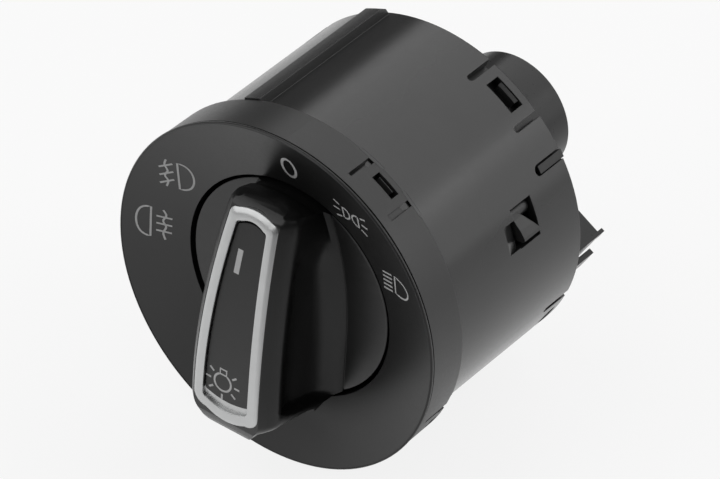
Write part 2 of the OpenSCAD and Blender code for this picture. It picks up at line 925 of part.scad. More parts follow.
module rotor_clip() {
    color(steel)
        difference() {
            ring(journal_r - 0.6, journal_r + 3, clip_y, clip_y + 1);
            block(-3, 3, clip_y - 1, clip_y + 2, -journal_r - 4, 4 - journal_r);
        }
}

// Sprung contact fingers on the back of the rotor flange
module wiper_contacts() {
    back = flange_y + flange_t;
    tip = board_y - 0.15;
    color(bronze)
        at(90) {
            block(-7, -2.5, back, back + 0.4, 11.6, 21);
            for (r = track_radii)
                strip([
                    [-3, back],
                    [-3, back + 0.4],
                    [-1, back + 0.4],
                    [5, tip - 1],
                    [6.2, tip],
                    [7.4, tip - 0.9],
                    [7.2, tip - 1.1],
                    [6.2, tip - 0.4],
                    [5.2, tip - 1.4],
                    [-0.6, back]
                ], r - 0.9, r + 0.5);
        }
}

// Leaf spring whose nose rests in a notch of the rotor and whose ends rest on the chamber wall
module detent_spring() {
    t = 0.35;
    half = 8.8;
    arm_r = flange_r + 0.8;
    end_r = sqrt(pow(chamber_r - 0.1, 2) - pow(half, 2));
    color(steel)
        slab([
            [-half, end_r - t],
            [-2.4, arm_r],
            [-1.4, arm_r - 0.4],
            [-0.5, notch_r + 0.2],
            [0.5, notch_r + 0.2],
            [1.4, arm_r - 0.4],
            [2.4, arm_r],
            [half, end_r - t],
            [half, end_r],
            [2.2, arm_r + t],
            [1.1, arm_r - 0.4 + t],
            [0.3, notch_r + 0.6],
            [-0.3, notch_r + 0.6],
            [-1.1, arm_r - 0.4 + t],
            [-2.2, arm_r + t],
            [-half, end_r]
        ], flange_y + 0.1, flange_y + flange_t - 0.1);
}

module contact_board() {
    color(board_green)
        ring(hub_r + 1, board_r, board_y, board_rear);
}

module contact_tracks() {
    spans = [[70, 175], [100, 160], [118, 150]];
    color(bronze)
        for (i = [0 : len(spans) - 1])
            sector(spans[i][0], spans[i][1], track_radii[i] - 1.1, track_radii[i] + 0.7, board_y - 0.08, board_y);
}

module electronics() {
    color(satin_black)
        at(235) {
            block(-4.5, 4.5, board_rear, board_rear + 1.4, 16, 22);
            translate([10, 0, 18])
                rod(2.4, board_rear, board_rear + 6.5);
            translate([16, 0, 14])
                rod(2.4, board_rear, board_rear + 6.5);
            block(-14, -8, board_rear, board_rear + 2.2, 15, 18);
        }
}

// Fixed blades that the slip ring passes as the knob is pulled
module fog_blades() {
    ends = [pin_y + 4, pin_y - 2.5, pin_y - 5];
    color(bronze)
        for (i = [0 : 2])
            at(200 + 60 * i)
                block(-1.5, 1.5, board_rear, ends[i], slip_r + 0.14, slip_r + 0.5);
}

// Ring that swings all the hooks together
module lock_ring() {
    color("#c8c4b8")
        union() {
            difference() {
                ring(ring_in, ring_out, ring_y0, ring_y0 + ring_t);
                for (i = [0 : hook_count - 1])
                    at(hook_angle + drive_a + i * hook_step)
                        drive_slot_cut();
            }
            translate([spring_x - 0.3, 0, spring_peg_z])
                rod(0.9, spring_y - 1.4, ring_y0 + 0.5);
        }
}

module drive_slot_cut() {
    w = drive_pin_r + drive_slot;
    block(-w, w, ring_y0 - 1, ring_y0 + ring_t + 1, drive_z - drive_pin_r - 0.3, ring_out + 1);
}

// Hook: a wedge-shaped blade flush in its window, a hub round the pin and an arm with the drive pin
module lock_hook(i) {
    color(body_grey)
        at(hook_angle + i * hook_step)
            difference() {
                union() {
                    hook_blade();
                    translate([0, 0, pivot_r])
                        rod(1.7, hook_y0, hook_y1);
                    hook_arm_body();
                }
                translate([0, 0, pivot_r])
                    rod(pivot_pin_r + pivot_fit, hook_y0 - 1, hook_y1 + 1);
            }
}

module hook_blade() {
    tip_x = hook_reach * cos(hook_rise);
    tip_z = pivot_r + hook_reach * sin(hook_rise);
    intersection() {
        slab([
            [-1.5, pivot_r + 0.7],
            [0.8, pivot_r + 2.5],
            [3.2, tip_z - 0.35],
            [tip_x - 0.7, tip_z],
            [tip_x, tip_z - 0.1],
            [tip_x + 0.25, tip_z - 0.8],
            [tip_x - 0.1, pivot_r + 1.6],
            [4, pivot_r - 0.6],
            [0, pivot_r - 1.6]
        ], hook_y0, hook_y1);
        strip([
            [-3, hook_y0 - 1],
            [7, hook_y0 - 1],
            [7, hook_y1 - 0.3],
            [tip_x, hook_y1 - 0.3],
            [-1.7, hook_y0 + 1.4],
            [-3, hook_y0 + 1.2]
        ], pivot_r - 3, body_r + 4);
    }
}

module hook_arm_body() {
    back = hook_y0 + 2.4;
    slab([
        [-1.5, pivot_r - 0.6],
        [drive_x - 1.5, drive_z + 0.4],
        [drive_x + 1.5, drive_z - 0.4],
        [1.6, pivot_r - 0.4]
    ], hook_y0, back);
    translate([drive_x, 0, drive_z]) {
        rod(1.6, hook_y0, back);
        rod(drive_pin_r, ring_y0 + 0.2, hook_y0 + 1);
    }
}

module lock_hook_1() {
    lock_hook(0);
}

module lock_hook_2() {
    lock_hook(1);
}

module hook_pins() {
    color(steel)
        for (i = [0 : hook_count - 1])
            at(hook_angle + i * hook_step)
                translate([0, 0, pivot_r])
                    rod(pivot_pin_r, pin_front, pin_back);
}

// Close-wound spring between the ring's peg and the housing's anchor
module lock_spring() {
    turns = floor((spring_z1 - spring_z0) / spring_wire);
    r = spring_coil - spring_wire / 2;
    color(steel)
        translate([spring_x, spring_y, 0]) {
            translate([0, 0, spring_z0])
                rotate_extrude($fn = 48)
                    polygon(concat(
                        [[r - spring_wire / 2, 0]],
                        [for (k = [0 : turns - 1]) for (j = [0 : 3]) [
                            r + spring_wire / 2 - 0.12 * abs(j - 1.5) / 1.5,
                            (k + (j + 0.5) / 4) * spring_wire
                        ]],
                        [[r - spring_wire / 2, turns * spring_wire]]
                    ));
            spring_hook(spring_z1, spring_peg_z, 0.9);
            spring_hook(spring_z0, spring_anchor_z, spring_post_r);
        }
}

// Flat loop of wire round a peg, joined to the coil's end
module spring_hook(z_end, z_peg, peg_r) {
    dir = z_peg > z_end ? 1 : -1;
    w = spring_wire / 2;
    translate([z_peg > z_end ? -0.3 : 0, 0, z_peg])
        ring(peg_r + 0.03, peg_r + 0.03 + spring_wire, -w, w);
    z_a = z_end - dir * 0.3;
    z_b = z_peg - dir * (peg_r + 0.2);
    block(-w, w, -w, w, min(z_a, z_b), max(z_a, z_b));
}

face_plate();
collar();
housing();
rear_cover();
terminal_pins();
lamp_board();
leds();
light_guide();
board_screws();
knob();
knob_trim();
knob_insert();
knob_shaft();
cross_pin();
pull_slider();
slip_ring();
knob_spring();
rotor();
rotor_clip();
wiper_contacts();
detent_spring();
contact_board();
contact_tracks();
electronics();
fog_blades();
lock_ring();
lock_hook_1();
lock_hook_2();
hook_pins();
lock_spring();
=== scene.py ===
import math

import bmesh
import bpy
from mathutils import Matrix, Vector


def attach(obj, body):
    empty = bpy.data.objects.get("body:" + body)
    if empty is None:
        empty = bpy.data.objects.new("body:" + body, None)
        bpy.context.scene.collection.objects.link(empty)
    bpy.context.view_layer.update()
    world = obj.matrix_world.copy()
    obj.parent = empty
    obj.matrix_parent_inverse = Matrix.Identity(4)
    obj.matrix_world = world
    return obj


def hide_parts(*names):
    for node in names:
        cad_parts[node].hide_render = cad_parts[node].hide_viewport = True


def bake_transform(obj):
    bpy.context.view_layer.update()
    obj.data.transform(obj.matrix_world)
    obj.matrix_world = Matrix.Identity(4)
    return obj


bl_info = {
    "name": "Headlight switch looks",
    "version": (1, 0, 0),
    "blender": (4, 5, 0),
    "location": "3D View > Sidebar > Switch",
    "description": "Finishes, printed marks and studio stage for a round headlight switch",
    "category": "Object",
}

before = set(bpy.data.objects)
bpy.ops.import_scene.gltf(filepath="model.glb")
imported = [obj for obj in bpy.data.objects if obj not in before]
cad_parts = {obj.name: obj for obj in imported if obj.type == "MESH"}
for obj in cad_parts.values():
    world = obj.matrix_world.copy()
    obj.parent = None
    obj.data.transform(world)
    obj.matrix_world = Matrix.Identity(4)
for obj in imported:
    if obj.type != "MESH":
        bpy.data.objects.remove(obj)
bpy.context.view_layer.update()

# Sizes in millimetres in the part's own frame; MM turns them into Blender's metres
MM = 0.001

# Dished face
RIM_R = 42.0
RIM_Y = -11.3
HOLE_R = 26.8
DISH_DEPTH = 5.5

# Grip: front arc, crease behind it, round ends, flare above the disc, foot and scoop
GRIP_ARC = 146.0
CROWN_Y = -26.37
CROWN_Z = -19.0
CREASE_DEPTH = 4.4
END_R = 28.05
END_SHIFT = 0.75
END_X = 12.0
FLARE_Y = -6.6
FOOT_Z = -21.6
FOOT_Y = -12.5
FOOT_FRONT_Y = -26.3
FOOT_HALF = 8.75
FOOT_FLARE = 2.65
FOOT_CORNER = 4.8
FOOT_BULGE = 1.7
FOOT_BULGE_HALF = 9.0
SCOOP_DEPTH = 2.5
SCOOP_FROM_Z = -22.0
SCOOP_Z0 = -20.6
SCOOP_Z1 = 21.0
SCOOP_START = 1.6
SCOOP_FADE = 9.0
SCOOP_X = (8.0, 16.5)

# Dark panel and bright frame on the grip
INSERT_SINK = 0.2
HALF_W = 8.6
TAPER = 2.45
TAPER_Z = -17.0
TAPER_LENGTH = 45.5
TAPER_POWER = 1.7
FRAME_W = 2.62
HEAD_SAG = 0.9

# Outlines of the frame: foot, head, corner radii there, inset from the outer edge and sag of the foot
OUTER = (-23.2, 26.9, 3.4, 1.6, 0.02, 1.35)
INNER = (-20.0, 24.68, 1.2, 0.8, FRAME_W, 1.15)
LEDGE = (-18.58, 23.98, 0.8, 0.7, FRAME_W + 0.03, 0.9)

# Sections as share of the way across and depth behind the arc: outer to inner outline, then to the ledge
BAND = (
    (0.0, 1.1), (0.0, 0.1), (0.02, -0.06), (0.07, -0.18), (0.16, -0.3), (0.3, -0.47), (0.38, -0.54),
    (0.48, -0.58), (0.7, -0.61), (0.9, -0.61), (0.96, -0.57), (1.0, -0.48), (1.0, 0.3))
STEP = ((0.15, 0.4), (0.85, 0.42), (1.0, 0.5), (1.0, 1.1))
CORNER_STEPS = 6
END_STEPS = 16
SIDE_STEPS = 24

# Creases sharper than these angles stay sharp in shading, in degrees
GRIP_CREASE = 38.0
FRAME_CREASE = 40.0
MERGE = 0.004

# Printed marks: widths of their lines
OFF_WIDTH = 0.7
MARK_WIDTH = 0.45
POINTER_WIDTH = 1.35
BULB_WIDTH = 0.5

# Stage: floor, lights and camera
FLOOR_Z = -42.05
FLOOR_HALF = 4000.0
LIGHT_DISTANCE = 0.9
LIGHT_TARGET = (0.0, 0.01, 0.0)
CAMERA_ANGLES = (35.016, 38.248, 3.642)
CAMERA_PLACE = (586.283, -817.37, 802.944)
SENSOR_WIDTH = 36.0


def dish_y(r):
    """Depth of the dished face at radius r, in millimetres."""
    return RIM_Y + (RIM_R - r) * DISH_DEPTH / (RIM_R - HOLE_R)


def arc_y(z, sink=0.0):
    """Depth of the grip's front arc at height z, sunk by sink, in millimetres."""
    r = GRIP_ARC - sink
    return CROWN_Y + GRIP_ARC - math.sqrt(r * r - (z - CROWN_Z) ** 2)


def half_w(z):
    """Half-width of the bright frame at height z, in millimetres."""
    return HALF_W - TAPER * (max(0.0, z - TAPER_Z) / TAPER_LENGTH) ** TAPER_POWER


class SwitchLooks(bpy.types.PropertyGroup):
    """Finish of the switch and its stage."""

    face_grey: bpy.props.FloatProperty(
        name="Face grey", description="Base tone of front plate and collar",
        default=0.012, min=0.002, max=0.2)
    body_grey: bpy.props.FloatProperty(
        name="Barrel grey", description="Base tone of the barrel and rear cover",
        default=0.020, min=0.005, max=0.2)
    knob_grey: bpy.props.FloatProperty(
        name="Knob grey", description="Base tone of the knob",
        default=0.005, min=0.002, max=0.1)
    grain_depth: bpy.props.FloatProperty(
        name="Grain depth", description="Strength of the fine moulded grain",
        default=0.10, min=0.0, max=1.0)
    mark_grey: bpy.props.FloatProperty(
        name="Mark tone", description="Tone of the printed marks",
        default=0.52, min=0.1, max=1.0)
    mark_lift: bpy.props.FloatProperty(
        name="Mark thickness", description="Height of the print above the face",
        default=0.00002, min=0.0, max=0.0005, unit="LENGTH")
    edge_round: bpy.props.FloatProperty(
        name="Edge rounding", description="Radius that edges of moulded pieces seem rounded by",
        default=0.00022, min=0.0, max=0.001, unit="LENGTH")
    key_power: bpy.props.FloatProperty(
        name="Key light", description="Power of the main soft light",
        default=2.4, min=0.0, max=50.0, unit="POWER")
    room_level: bpy.props.FloatProperty(
        name="Room light", description="Strength of the even light from all round",
        default=0.12, min=0.0, max=5.0)
    floor_shine: bpy.props.FloatProperty(
        name="Floor in reflections", description="How white the paper floor looks in reflections",
        default=1.0, min=0.0, max=1.0)
    lens: bpy.props.FloatProperty(
        name="Lens", description="Focal length of the camera in millimetres",
        default=301.35, min=20.0, max=600.0)


def look():
    """The scene's own settings of this add-on."""
    return bpy.context.scene.switch_looks


# Materials
def map_range(tree, value, start, end, low=0.3, high=0.7):
    """The value from low to high turned into one from start to end."""
    ramp = tree.nodes.new("ShaderNodeMapRange")
    ramp.inputs["From Min"].default_value = low
    ramp.inputs["From Max"].default_value = high
    ramp.inputs["To Min"].default_value = start
    ramp.inputs["To Max"].default_value = end
    tree.links.new(value, ramp.inputs["Value"])
    return ramp


def noise(tree, scale, detail=2.0):
    """Noise that is fixed to the piece."""
    coord = tree.nodes.new("ShaderNodeTexCoord")
    node = tree.nodes.new("ShaderNodeTexNoise")
    node.inputs["Scale"].default_value = scale
    node.inputs["Detail"].default_value = detail
    tree.links.new(coord.outputs["Object"], node.inputs["Vector"])
    return node


def relief(tree, bsdf, height, strength, distance, radius):
    """Fine bumps on faces whose edges seem rounded by radius."""
    edge = tree.nodes.new("ShaderNodeBevel")
    edge.samples = 4
    edge.inputs["Radius"].default_value = radius
    bump = tree.nodes.new("ShaderNodeBump")
    bump.inputs["Strength"].default_value = strength
    bump.inputs["Distance"].default_value = distance
    tree.links.new(height.outputs["Fac"], bump.inputs["Height"])
    tree.links.new(edge.outputs["Normal"], bump.inputs["Normal"])
    tree.links.new(bump.outputs["Normal"], bsdf.inputs["Normal"])


def new_material(name):
    """An empty material with one shader and its output."""
    mat = bpy.data.materials.new(name)
    mat.use_nodes = True
    tree = mat.node_tree
    tree.nodes.clear()
    out = tree.nodes.new("ShaderNodeOutputMaterial")
    bsdf = tree.nodes.new("ShaderNodeBsdfPrincipled")
    tree.links.new(bsdf.outputs["BSDF"], out.inputs["Surface"])
    return mat, tree, bsdf


def moulded(name, tone, rough, depth=None, tint=(1.0, 1.0, 1.0), spec=0.5):
    """Moulded plastic: faint mottle, fine grain and rounded edges."""
    mat, tree, bsdf = new_material(name)
    grain = noise(tree, 1400.0, 3.0)
    grain.inputs["Roughness"].default_value = 0.6
    mottle = map_range(tree, noise(tree, 60.0).outputs["Fac"], 0.88, 1.12)
    colour = tree.nodes.new("ShaderNodeVectorMath")
    colour.operation = "SCALE"
    colour.inputs[0].default_value = [tone * t for t in tint]
    tree.links.new(mottle.outputs["Result"], colour.inputs["Scale"])
    tree.links.new(colour.outputs["Vector"], bsdf.inputs["Base Color"])
    shine = map_range(tree, grain.outputs["Fac"], rough - 0.03, rough + 0.03)
    tree.links.new(shine.outputs["Result"], bsdf.inputs["Roughness"])
    relief(tree, bsdf, grain, look().grain_depth if depth is None else depth, 0.00006, look().edge_round)
    bsdf.inputs["Specular IOR Level"].default_value = spec
    return mat


def metal(name, tone, rough, tint):
    """Plated or bare metal with a faint unevenness."""
    mat, tree, bsdf = new_material(name)
    uneven = noise(tree, 500.0)
    shine = map_range(tree, uneven.outputs["Fac"], rough - 0.04, rough + 0.04)
    tree.links.new(shine.outputs["Result"], bsdf.inputs["Roughness"])
    relief(tree, bsdf, uneven, 0.04, 0.00003, 0.0001)
    bsdf.inputs["Base Color"].default_value = [tone * t for t in tint] + [1.0]
    bsdf.inputs["Metallic"].default_value = 1.0
    return mat


def printed(name, tone):
    """Matt print or lamp body with a faint unevenness."""
    mat, tree, bsdf = new_material(name)
    shade = map_range(tree, noise(tree, 900.0).outputs["Fac"], tone * 0.94, tone * 1.06, 0.0, 1.0)
    tree.links.new(shade.outputs["Result"], bsdf.inputs["Base Color"])
    bsdf.inputs["Roughness"].default_value = 0.55
    return mat


def clear_plastic(name):
    """Clear moulded plastic."""
    mat, _, bsdf = new_material(name)
    bsdf.inputs["Base Color"].default_value = (0.9, 0.93, 0.95, 1.0)
    bsdf.inputs["Roughness"].default_value = 0.12
    bsdf.inputs["IOR"].default_value = 1.49
    bsdf.inputs["Transmission Weight"].default_value = 0.85
    return mat


def board_finish(name):
    """Board laminate: green solder mask with a faint weave."""
    mat, tree, bsdf = new_material(name)
    nodes, links = tree.nodes, tree.links
    coord = nodes.new("ShaderNodeTexCoord")
    wave = nodes.new("ShaderNodeTexWave")
    wave.inputs["Scale"].default_value = 900.0
    wave.inputs["Distortion"].default_value = 1.5
    links.new(coord.outputs["Object"], wave.inputs["Vector"])
    mix = nodes.new("ShaderNodeMix")
    mix.data_type = "RGBA"
    mix.inputs["A"].default_value = (0.018, 0.085, 0.035, 1.0)
    mix.inputs["B"].default_value = (0.024, 0.11, 0.045, 1.0)
    links.new(wave.outputs["Fac"], mix.inputs["Factor"])
    links.new(mix.outputs["Result"], bsdf.inputs["Base Color"])
    bsdf.inputs["Roughness"].default_value = 0.3
    return mat


def paint(node, mat):
    """Give a CAD node its material."""
    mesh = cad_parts[node].data
    mesh.materials.clear()
    mesh.materials.append(mat)


# Meshes
def add_mesh(name, verts, faces, mat, smooth=True):
    """A new object from points in millimetres."""
    mesh = bpy.data.meshes.new(name)
    mesh.from_pydata([Vector(v) * MM for v in verts], [], faces)
    mesh.materials.append(mat)
    for p in mesh.polygons:
        p.use_smooth = smooth
    obj = bpy.data.objects.new(name, mesh)
    bpy.context.scene.collection.objects.link(obj)
    return obj


def whole_copy(node, mat):
    """The node's own mesh as a new object that stands in for the node."""
    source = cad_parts[node]
    mesh = source.data.copy()
    mesh.name = node + "_copy"
    mesh.materials.clear()
    mesh.materials.append(mat)
    obj = bpy.data.objects.new(node + "_copy", mesh)
    bpy.context.scene.collection.objects.link(obj)
    obj.matrix_world = source.matrix_world.copy()
    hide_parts(node)
    return obj


def sharpen(work, degrees):
    """Smooth every edge between faces that meet at less than an angle."""
    for edge in work.edges:
        edge.smooth = edge.calc_face_angle(0.0) < math.radians(degrees)


def smooth_copy(node, mat, degrees):
    """A copy of the node with shading that runs smoothly over its facets."""
    obj = whole_copy(node, mat)
    mesh = obj.data
    if "custom_normal" in mesh.attributes:
        mesh.attributes.remove(mesh.attributes["custom_normal"])
    work = bmesh.new()
    work.from_mesh(mesh)
    bmesh.ops.remove_doubles(work, verts=work.verts, dist=MERGE * MM)
    for face in work.faces:
        face.smooth = True
    sharpen(work, degrees)
    work.to_mesh(mesh)
    work.free()
    even = obj.modifiers.new("even_normals", "WEIGHTED_NORMAL")
    even.keep_sharp = True
    even.weight = 80
    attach(obj, "sliding_knob")
    return obj


def round_foot(mesh):
    """Round the corners of the grip's foot in plan and let its middle bulge."""
    for v in mesh.vertices:
        x, y, z = (c / MM for c in v.co)
        if z > FOOT_Z or y > FOOT_Y:
            continue
        wall = END_SHIFT - math.sqrt(END_R ** 2 - min(abs(x), END_X) ** 2)
        edge = FOOT_HALF + FOOT_FLARE * min(max((y - FOOT_FRONT_Y) / CREASE_DEPTH, 0.0), 1.0)
        t = min((FOOT_Z - z) / (FOOT_Z - wall), 1.0)
        u = max(abs(x) - (edge - FOOT_CORNER), 0.0) / FOOT_CORNER
        drop = (FOOT_Z - z) * (1.0 - math.sqrt(1.0 - min(u, 1.0) ** 2 / 2))
        draw = u * FOOT_CORNER * (1.0 - math.sqrt(1.0 - t * t / 2))
        bulge = FOOT_BULGE * t * max(0.0, 1.0 - (x / FOOT_BULGE_HALF) ** 2)
        v.co.z = (z + drop - bulge) * MM
        v.co.x = (x - math.copysign(draw, x)) * MM


def smooth_step(t):
    """A soft step from 0 to 1 while t goes from 0 to 1."""
    t = min(max(t, 0.0), 1.0)
    return t * t * (3.0 - 2.0 * t)


def steepen_flanks(mesh):
    """Keep the scooped flanks steep down to a narrow flare above the disc."""
    for v in mesh.vertices:
        x, y, z = (c / MM for c in v.co)
        crease = arc_y(z) + CREASE_DEPTH
        t = (y - crease) / (FLARE_Y - crease)
        if not 0.0 < t < 1.0 or not SCOOP_FROM_Z < z < SCOOP_Z1 or not SCOOP_X[0] < abs(x) < SCOOP_X[1]:
            continue
        more = max(1.0 - (2.0 * t - 1.0) ** 4 - 4.0 * t * (1.0 - t), 0.0)
        ends = (smooth_step((z - SCOOP_Z0 + SCOOP_START * t) / SCOOP_START)
                * smooth_step((SCOOP_Z1 - z) / SCOOP_FADE))
        v.co.x = (x - math.copysign(SCOOP_DEPTH * more * ends, x)) * MM


def corner(x, z, r, start):
    """A quarter turn round x, z from a start angle in degrees."""
    angles = [math.radians(start + 90 / CORNER_STEPS * k) for k in range(CORNER_STEPS + 1)]
    return [(x + r * math.cos(a), z + r * math.sin(a)) for a in angles]


def end_arc(z, w, sag):
    """A shallow arc from w to minus w whose middle is sag past z."""
    shares = [k / END_STEPS for k in range(1, END_STEPS)]
    return [(w - 2 * w * t, z + sag * (1 - (1 - 2 * t) ** 2)) for t in shares]


def frame_outline(z0, z1, r0, r1, inset, sag):
    """Outline of the bright frame in plan, from the foot's right corner up, round and down."""
    w0, w1 = half_w(z0 + r0) - inset - r0, half_w(z1 - r1) - inset - r1
    side = [z0 + r0 + (z1 - z0 - r0 - r1) * k / SIDE_STEPS for k in range(1, SIDE_STEPS)]
    right = corner(w0, z0 + r0, r0, -90) + [(half_w(z) - inset, z) for z in side] + corner(w1, z1 - r1, r1, 0)
    left = [(-x, z) for x, z in reversed(right)]
    return right + end_arc(z1, w1, HEAD_SAG) + left + [(-x, z) for x, z in end_arc(z0, w0, -sag)]


def between(a, b, share, sink):
    """Points a share of the way from outline a to outline b, each with its depth behind the arc."""
    rest = 1 - share
    return [(rest * p[0] + share * q[0], rest * p[1] + share * q[1], sink) for p, q in zip(a, b)]


def bright_frame(mat):
    """The grip's bright frame with a rounded section, a sunken ledge and soft corners."""
    outer, inner, ledge = (frame_outline(*sizes) for sizes in (OUTER, INNER, LEDGE))
    rings = [between(outer, inner, share, sink) for share, sink in BAND]
    rings += [between(inner, ledge, share, sink) for share, sink in STEP]
    n = len(outer)
    verts = [(x, arc_y(z) + sink, z) for ring in rings for x, z, sink in ring]
    faces = []
    for k in range(len(rings)):
        a0, b0 = k * n, (k + 1) % len(rings) * n
        for i in range(n):
            j = (i + 1) % n
            faces.append((a0 + i, b0 + i, b0 + j, a0 + j))
    obj = add_mesh("bright_frame", verts, faces, mat)
    work = bmesh.new()
    work.from_mesh(obj.data)
    bmesh.ops.recalc_face_normals(work, faces=work.faces)
    sharpen(work, FRAME_CREASE)
    work.to_mesh(obj.data)
    work.free()
    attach(obj, "sliding_knob")
    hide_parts("knob_trim")
    return obj


def on_insert(x, z):
    """A point of the printed layer on the dark panel of the grip."""
    return (x, arc_y(z, INSERT_SINK) - look().mark_lift / MM, z)


def on_face(x, z):
    """A point of the printed layer on the dished face."""
    return (x, dish_y(math.hypot(x, z)) - look().mark_lift / MM, z)


def stroke(points, width, closed):
    """The two edges of a ribbon of even width along points."""
    n = len(points)
    left, right = [], []
    for i in range(n):
        a = points[(i - 1) % n] if closed or i > 0 else points[i]
        b = points[(i + 1) % n] if closed or i < n - 1 else points[i]
        dx, dz = b[0] - a[0], b[1] - a[1]
        d = math.hypot(dx, dz) or 1.0
        nx, nz = -dz / d * width / 2, dx / d * width / 2
        left.append((points[i][0] + nx, points[i][1] + nz))
        right.append((points[i][0] - nx, points[i][1] - nz))
    return left, right


def ribbon_mesh(strokes, width, place):
    """Verts and faces of several ribbons laid on a surface by place(x, z)."""
    verts, faces = [], []
    for points, closed in strokes:
        left, right = stroke(points, width, closed)
        base, n = len(verts), len(points)
        for p, q in zip(left, right):
            verts += [place(*p), place(*q)]
        for i in range(n if closed else n - 1):
            a, b = base + 2 * i, base + 2 * ((i + 1) % n)
            faces.append((a, a + 1, b + 1, b))
    return verts, faces


def curve(points, steps=6):
    """Smooth line through points."""
    out = []
    n = len(points)
    for i in range(n - 1):
        p0 = points[max(i - 1, 0)]
        p1, p2 = points[i], points[i + 1]
        p3 = points[min(i + 2, n - 1)]
        for k in range(steps):
            t = k / steps
            out.append(tuple(
                0.5 * (2 * p1[j] + (p2[j] - p0[j]) * t
                       + (2 * p0[j] - 5 * p1[j] + 4 * p2[j] - p3[j]) * t * t
                       + (3 * p1[j] - p0[j] - 3 * p2[j] + p3[j]) * t ** 3)
                for j in (0, 1)))
    out.append(points[-1])
    return out


def ellipse(cx, cz, rx, rz, n=48):
    """Points round an ellipse."""
    turns = [2 * math.pi * i / n for i in range(n)]
    return [(cx + rx * math.cos(t), cz + rz * math.sin(t)) for t in turns]


def lamp_shape(flat_x, cz, half, bulge, n=24):
    """A lamp's outline: flat on one side, bulging to the other."""
    pts = [(flat_x, cz + half), (flat_x, cz - half)]
    for i in range(1, n):
        t = math.pi * i / n
        pts.append((flat_x + bulge * math.sin(t) ** 0.75, cz - half * math.cos(t)))
    return pts


def lines(pairs):
    """Straight strokes between pairs of points, in short steps so that they follow the face."""
    out = []
    for a, b in pairs:
        out.append(([tuple(a[j] + (b[j] - a[j]) * k / 4 for j in (0, 1)) for k in range(5)], False))
    return out


def mark_strokes():
    """Every printed mark as strokes of [x, z] millimetres on the face."""
    off = [(ellipse(0.0, 33.1, 1.75, 2.8), True)]
    parking = []
    for s in (-1, 1):
        cx = 16.55
        parking.append((lamp_shape(cx + s * 2.3, 28.45, 1.65, -s * 1.9), True))
        parking += lines([
            ((cx + s * 3.1, 30.3), (cx + s * 4.75, 30.95)),
            ((cx + s * 3.3, 28.5), (cx + s * 5.15, 28.5)),
            ((cx + s * 2.95, 26.7), (cx + s * 4.7, 25.95)),
        ])
    low = [(lamp_shape(29.15, 17.2, 2.5, 4.35), True)]
    low += lines([((25.0, 18.2 - 1.2 * k), (28.1, 19.2 - 1.2 * k)) for k in range(5)])
    front = [(lamp_shape(-28.85, 16.25, 3.85, 3.35), True)]
    front += lines([((-33.1, 17.7 - 2.35 * k), (-29.95, 19.5 - 2.35 * k)) for k in range(3)])
    wave = [(-31.3, 20.45), (-31.75, 18.8), (-31.2, 17.1), (-31.9, 15.5), (-31.25, 14.1), (-31.7, 12.4)]
    front.append((curve(wave), False))
    rear = [(lamp_shape(-35.25, 1.3, 4.0, -3.2), True)]
    rear += lines([((-34.1, 3.15 - 1.95 * k), (-30.7, 3.12 - 1.95 * k)) for k in range(3)])
    wave = [(-32.65, 5.1), (-32.0, 3.8), (-32.65, 2.1), (-32.0, 0.6), (-32.55, -1.2), (-32.0, -2.85)]
    rear.append((curve(wave), False))
    return {"off": off, "parking": parking, "low_beam": low, "front_fog": front, "rear_fog": rear}


def bulb_strokes():
    """The lamp icon on the grip: a glass, its cap and rays."""
    cx, cz, r = -1.27, -14.6, 2.2
    out = [([(cx + r * math.sin(t), cz + r * math.cos(t)) for t in
             (math.radians(28 + 304 * k / 28) for k in range(29))], False)]
    cap = [(cx - 0.85, cz + 2.05), (cx - 0.85, cz + 3.4), (cx + 0.85, cz + 3.4), (cx + 0.85, cz + 2.05)]
    out.append((cap, True))
    for degrees in (52, 90, 128, 180, 232, 270, 308):
        t = math.radians(degrees)
        out += lines([((cx + 3.1 * math.sin(t), cz + 3.1 * math.cos(t)),
                       (cx + 4.5 * math.sin(t), cz + 4.5 * math.cos(t)))])
    return out


# Stage
def camera_axes(azimuth, elevation, roll):
    """Right, up and backward directions of a camera that looks at the switch."""
    a, e, r = (math.radians(v) for v in (azimuth, elevation, roll))
    back = Vector((math.sin(a) * math.cos(e), -math.cos(a) * math.cos(e), math.sin(e)))
    right0 = Vector((math.cos(a), math.sin(a), 0.0))
    up0 = right0.cross(-back)
    right = right0 * math.cos(r) + up0 * math.sin(r)
    up = up0 * math.cos(r) - right0 * math.sin(r)
    return right, up, back


def area_light(name, direction, width, height, power):
    """A soft light that looks at the switch from a direction."""
    data = bpy.data.lights.new(name, "AREA")
    data.shape = "RECTANGLE"
    data.size, data.size_y = width, height
    data.energy = power
    obj = bpy.data.objects.new(name, data)
    bpy.context.scene.collection.objects.link(obj)
    d = Vector(direction).normalized()
    obj.location = Vector(LIGHT_TARGET) + d * LIGHT_DISTANCE
    obj.rotation_mode = "QUATERNION"
    obj.rotation_quaternion = d.to_track_quat("Z", "Y")
    return obj


def math_node(tree, operation, *values):
    """A sum on sockets and numbers."""
    node = tree.nodes.new("ShaderNodeMath")
    node.operation = operation
    for k, value in enumerate(values):
        if isinstance(value, bpy.types.NodeSocket):
            tree.links.new(value, node.inputs[k])
        else:
            node.inputs[k].default_value = value
    return node.outputs["Value"]


def floor_reflection_with_painted_shade(tree):
    """How white the floor looks in reflections, with painted shade: in reflections the floor is darker in
    front of the switch on its right, so the surfaces that mirror that stretch look shaded.
    """
    coord = tree.nodes.new("ShaderNodeTexCoord")
    parts = tree.nodes.new("ShaderNodeSeparateXYZ")
    tree.links.new(coord.outputs["Object"], parts.inputs["Vector"])
    # Painted shade in reflections: the floor right of and in front of the switch glows less.
    to_right = map_range(tree, parts.outputs["X"], 0.0, 1.0, 0.012, 0.040)
    to_front = map_range(tree, parts.outputs["Y"], 0.9, 0.0, 0.0, 0.030)
    for ramp in (to_right, to_front):
        ramp.interpolation_type = "SMOOTHSTEP"
    shade = math_node(tree, "MULTIPLY", to_right.outputs["Result"], to_front.outputs["Result"])
    return math_node(tree, "SUBTRACT", look().floor_shine, shade)


